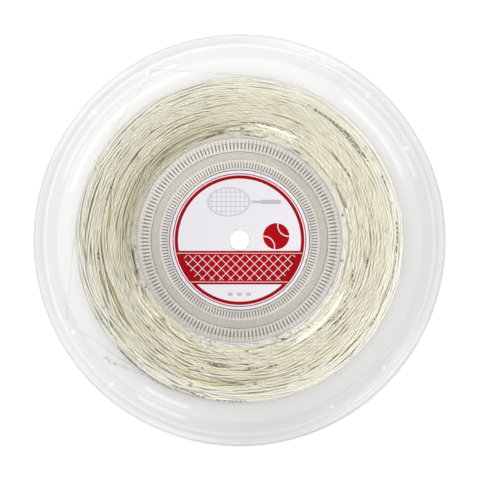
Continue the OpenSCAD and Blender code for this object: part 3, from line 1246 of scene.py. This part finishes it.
# %% Lay the film round and tape it
# Angles are in degrees round the reel. The film's slack corners stand off to CORNER_RADIUS, and
# folds fade in over SLACK_FADE degrees. The tape peels off from TAPE_FREE down to its free end.
film_low, film_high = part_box("wrap_film")
FILM_HALF_WIDTH = (film_high.z - film_low.z) / 2
FILM_GAP = 0.12 * MM
FILM_RADIUS = WINDING_RADIUS + FILM_GAP
FILM_START, FILM_END = 232.0, 606.0
FILM_THICKNESS = 0.05 * MM
CORNERS = (117.0, 205.0)
CORNER_RADIUS = 126.0 * MM
CORNER_ROUNDING = 1.4
SLACK_FADE = 8
FOLD_DEPTH = 0.9
FOLD_LIFT = 0.4
TAPE_START, TAPE_END = 221.0, 246.0
TAPE_FREE = 236.0
TAPE_PEEL = 13.0
TAPE_LIFT = 5.5 * MM
TAPE_FOLDS = 2.4 * MM
FOLD_SHARP = math.radians(50)


def film_finish():
    finish = Finish("clear_film")
    creases = finish.noise(finish.place(), 240.0, 3.0)
    sheet = finish.add(
        "ShaderNodeBsdfPrincipled",
        inputs={
            "Base Color": (0.97, 0.975, 0.98, 1.0),
            "Roughness": creases.ramp(0.4, 0.7, 0.04, 0.16),
            "IOR": 1.48,
            "Transmission Weight": 1.0,
            "Normal": finish.bump(creases, 0.25 * MM),
        },
    )
    passing = ray(finish, "Is Shadow Ray", "Is Diffuse Ray").higher(0.5)
    return partly_open(finish, sheet, passing, 0.99)


def film_path(turn):
    """Radius of the film at an angle in degrees, and how slack it is there, from 0 to 1."""
    spread = math.degrees(math.acos(FILM_RADIUS / CORNER_RADIUS))
    off = min(abs((turn - corner + 180) % 360 - 180) for corner in CORNERS)
    off = math.sqrt(off * off + CORNER_ROUNDING * CORNER_ROUNDING)
    if off >= spread:
        return FILM_RADIUS, 0.0
    slack = min(1.0, (spread - off) / SLACK_FADE)
    return FILM_RADIUS / math.cos(math.radians(spread - off)), slack


def laid_round(name, start, end, columns, rows, radius_at):
    """A flat grid laid round the axis as a closed thin sheet, and the length of its strip."""
    half_width = FILM_HALF_WIDTH
    shape = bmesh.new()
    bmesh.ops.create_grid(shape, x_segments=columns, y_segments=rows, size=0.5)
    for vert in shape.verts:
        turn = start + (end - start) * (vert.co.x + 0.5)
        height = 2 * vert.co.y * half_width
        radius = radius_at(turn, height / half_width)
        turn = math.radians(turn)
        vert.co = (radius * math.cos(turn), radius * math.sin(turn), MIDDLE_Z + height)
    bmesh.ops.recalc_face_normals(shape, faces=shape.faces)
    rim = [edge for edge in shape.edges if edge.is_boundary]
    long_edges = [e for e in rim if abs(e.verts[0].co.z - e.verts[1].co.z) < half_width / rows]
    length = sum(edge.calc_length() for edge in long_edges) / 2
    bmesh.ops.solidify(shape, geom=shape.faces, thickness=FILM_THICKNESS)
    bmesh.ops.recalc_face_normals(shape, faces=shape.faces)
    mesh = bpy.data.meshes.new(name)
    shape.to_mesh(mesh)
    shape.free()
    mesh.shade_smooth()
    mesh.set_sharp_from_angle(angle=FOLD_SHARP)
    return new_object(name, mesh), length


def ripple(turn, level, seed):
    """Soft folds that run across a slack strip."""
    folds = soft_noise.noise((turn * 0.35, level * 0.8, seed))
    return folds + 0.5 * soft_noise.noise((turn * 1.1, level * 1.6, seed + 5))


def film_radius(turn, level):
    radius, slack = film_path(turn)
    wound = FILM_GAP * (turn - FILM_START) / 360
    return radius + wound + slack * FOLD_DEPTH * MM * (ripple(turn, level, 3.0) + FOLD_LIFT)


def tape_radius(turn, level):
    """Over the film, and standing away from it towards the free end."""
    loose = max(0.0, min(1.0, (TAPE_FREE - turn) / TAPE_PEEL))
    under = film_radius(turn + 360, level) + FILM_GAP
    return under + loose * (TAPE_LIFT + TAPE_FOLDS * ripple(turn * 3, level * 1.5, 9.0))


film_clear = film_finish()
film, film_length = laid_round("film_band", FILM_START, FILM_END, 720, 10, film_radius)
tape, tape_length = laid_round("film_end_tape", TAPE_START, TAPE_END, 90, 12, tape_radius)
for item, node, length in ((film, "wrap_film", film_length), (tape, "film_tape", tape_length)):
    item.data.materials.append(film_clear)
    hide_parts(node)
    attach(item, "root")
    print(item.name, "cut", round(2 * FILM_HALF_WIDTH / MM, 1), "by", round(length / MM), "mm")

# %% [markdown]
# ## Closing the lesson
